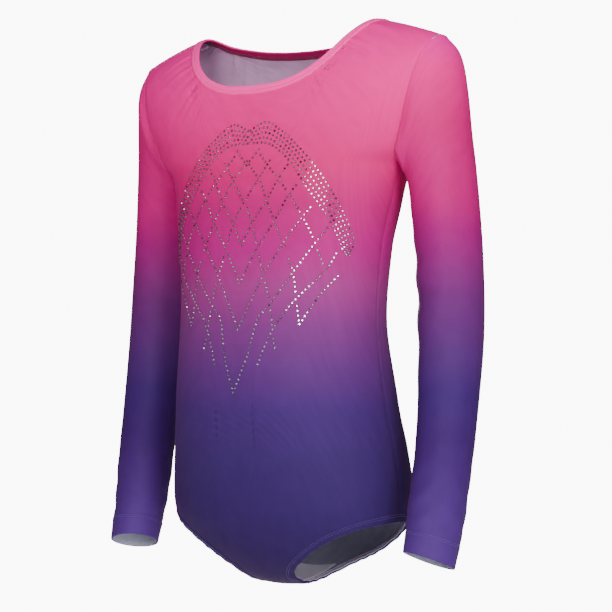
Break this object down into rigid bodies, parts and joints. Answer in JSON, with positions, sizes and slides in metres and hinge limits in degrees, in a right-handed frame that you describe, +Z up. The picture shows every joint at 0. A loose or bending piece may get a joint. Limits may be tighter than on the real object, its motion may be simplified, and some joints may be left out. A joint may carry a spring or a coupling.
{
  "type": "gymnastics leotard",
  "caption": "Child's long-sleeved gymnastics leotard in the shape of its wearer, scoop neck, high-cut legs, stone-set front, with sleeves that raise and bend.",
  "frame": {"origin": "midway between the high points of the two shoulders", "axes": "+Z up along the body, front faces -Y, +X towards the wearer's left"},
  "size_m": [0.4246, 0.2053, 0.5735],
  "materials": {
    "pink_knit": "satin stretch knit, pink fading to violet",
    "binding_knit": "satin stretch knit",
    "sleeve_knit": "satin stretch knit",
    "violet_knit": "satin stretch knit",
    "overlock_thread": "matt thread",
    "violet_thread": "matt thread",
    "elastic_tape": "matt woven elastic",
    "lining_knit": "matt knit",
    "silver_stones": "cut and foiled, shiny"
  },
  "bodies": {
    "torso": {"front_body": "pink_knit", "back_body": "pink_knit", "neck_binding": "binding_knit", "crotch_seam": "violet_thread", "crotch_lining": "lining_knit", "stone_lattice": "silver_stones", "left_leg_hem": "violet_knit", "left_leg_elastic": "elastic_tape", "left_shoulder_seam": "overlock_thread", "left_side_seam": "overlock_thread", "left_armhole_seam": "overlock_thread", "left_stone_band": "silver_stones", "right_leg_hem": "violet_knit", "right_leg_elastic": "elastic_tape", "right_shoulder_seam": "overlock_thread", "right_side_seam": "overlock_thread", "right_armhole_seam": "overlock_thread", "right_stone_band": "silver_stones"},
    "left_upper_arm": {"left_upper_sleeve": "sleeve_knit", "left_upper_sleeve_seam": "overlock_thread"},
    "left_forearm": {"left_forearm_sleeve": "violet_knit", "left_forearm_sleeve_seam": "violet_thread", "left_cuff_hem": "violet_knit"},
    "right_upper_arm": {"right_upper_sleeve": "sleeve_knit", "right_upper_sleeve_seam": "overlock_thread"},
    "right_forearm": {"right_forearm_sleeve": "violet_knit", "right_forearm_sleeve_seam": "violet_thread", "right_cuff_hem": "violet_knit"}
  },
  "joints": [
    {"name": "left_shoulder_raise", "type": "hinge", "parent": "torso", "child": "left_upper_arm", "pos_m": [0.175, 0.005, -0.021], "axis": [0, -1, 0], "range_deg": [0, 100]},
    {"name": "left_elbow_bend", "type": "hinge", "parent": "left_upper_arm", "child": "left_forearm", "pos_m": [0.178, -0.0225, -0.2897], "axis": [-1, 0, 0], "range_deg": [0, 110]},
    {"name": "right_shoulder_raise", "type": "hinge", "parent": "torso", "child": "right_upper_arm", "pos_m": [-0.175, 0.005, -0.021], "axis": [0, 1, 0], "range_deg": [0, 100]},
    {"name": "right_elbow_bend", "type": "hinge", "parent": "right_upper_arm", "child": "right_forearm", "pos_m": [-0.178, -0.0225, -0.2897], "axis": [-1, 0, 0], "range_deg": [0, 110]}
  ]
}
